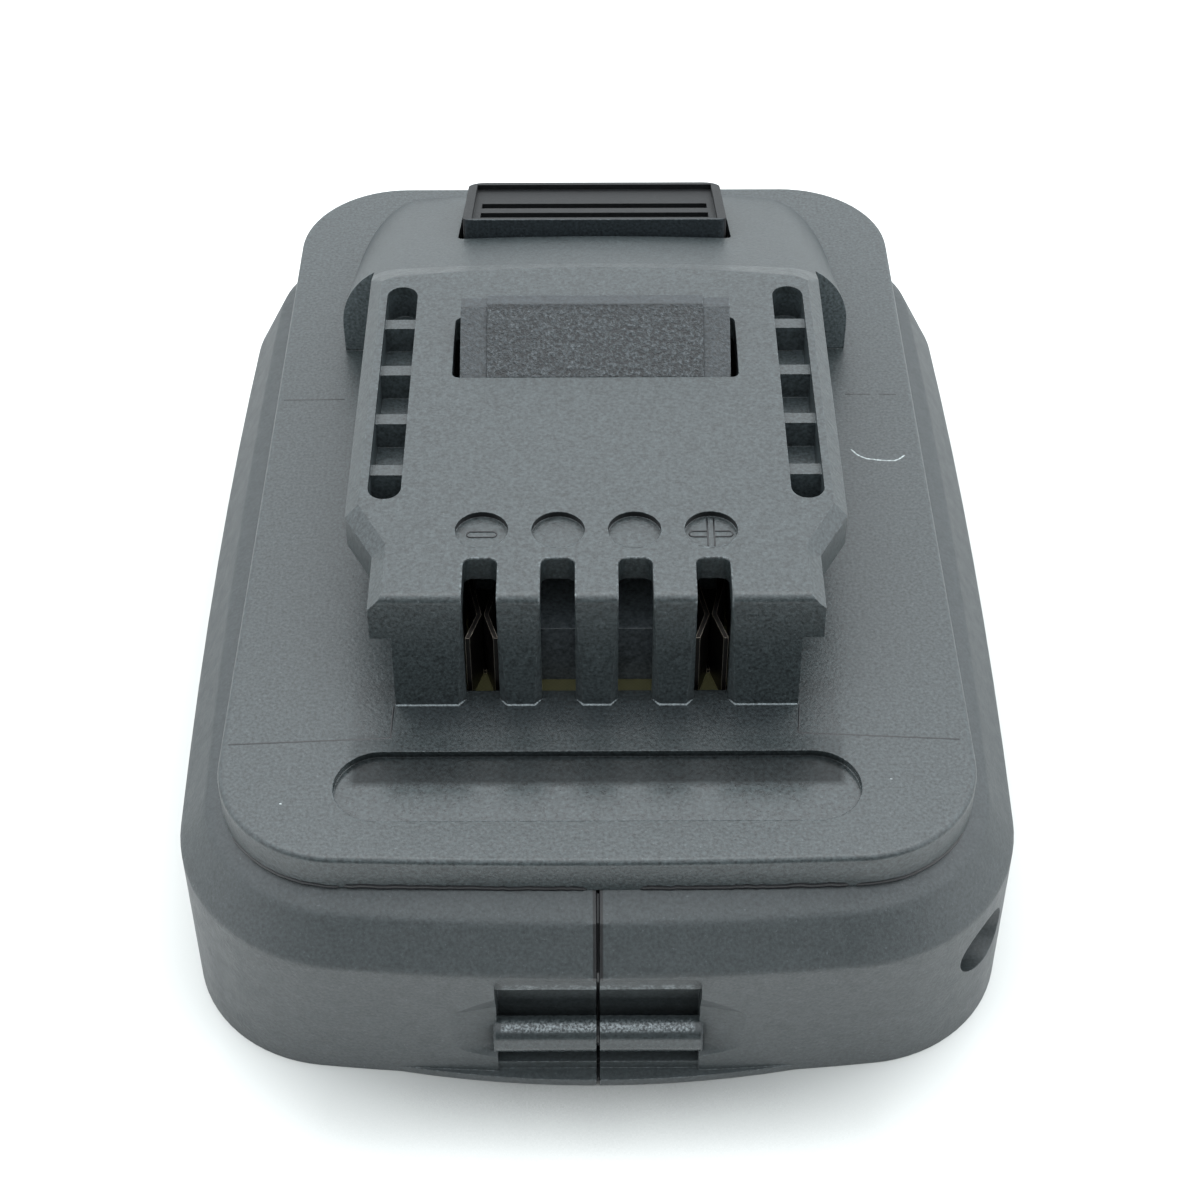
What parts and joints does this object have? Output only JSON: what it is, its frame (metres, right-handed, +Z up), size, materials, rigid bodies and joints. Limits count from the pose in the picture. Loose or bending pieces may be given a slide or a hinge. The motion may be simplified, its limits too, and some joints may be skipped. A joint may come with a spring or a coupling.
{
  "type": "power tool battery adapter",
  "caption": "Slide-on battery adapter with a T-rail deck, contact slots, a sprung release latch with thumb pad, and a pack bay in its underside.",
  "frame": {"origin": "centre of the adapter in plan, at the level of the rim that it rests on", "axes": "+Z up from the pack side to the tool side, +Y from the front wall with the contact slots towards the thumb pad, +X across to the side with the screw holes"},
  "size_m": [0.0884, 0.1232, 0.0457],
  "materials": {
    "cover_plastic": "fine moulded texture",
    "housing_plastic": "fine moulded texture",
    "latch_plastic": "fine moulded texture, coarser on the ramp",
    "block_plastic": "moulded, plain",
    "spring_steel": "bright drawn wire",
    "board": "glass fibre laminate, yellow green",
    "contact_metal": "tinned sheet",
    "blade_metal": "stamped, bright",
    "lead_black": "insulated lead",
    "lead_red": "insulated lead",
    "screw_steel": "dark zinc"
  },
  "bodies": {
    "adapter": {"upper_cover": "cover_plastic", "housing_left": "housing_plastic", "housing_right": "housing_plastic", "latch_spring_left": "spring_steel", "latch_spring_right": "spring_steel", "circuit_board": "board", "contact_negative": "contact_metal", "contact_positive": "contact_metal", "contact_carrier": "block_plastic", "terminal_block": "block_plastic", "blade_negative": "blade_metal", "blade_positive": "blade_metal", "terminal_negative": "contact_metal", "terminal_positive": "contact_metal", "lead_negative": "lead_black", "lead_positive": "lead_red", "cover_screws": "screw_steel", "side_screws": "screw_steel", "block_screws": "screw_steel", "board_screws": "screw_steel"},
    "latch": {"release_latch": "latch_plastic"}
  },
  "joints": [
    {"name": "latch_press", "type": "slide", "parent": "adapter", "child": "latch", "axis": [0, 0, 1], "range_m": [-0.0042, 0], "stiffness_N_per_m": 1500, "springref_m": 0.003, "deforming": ["latch_spring_left", "latch_spring_right"]}
  ]
}
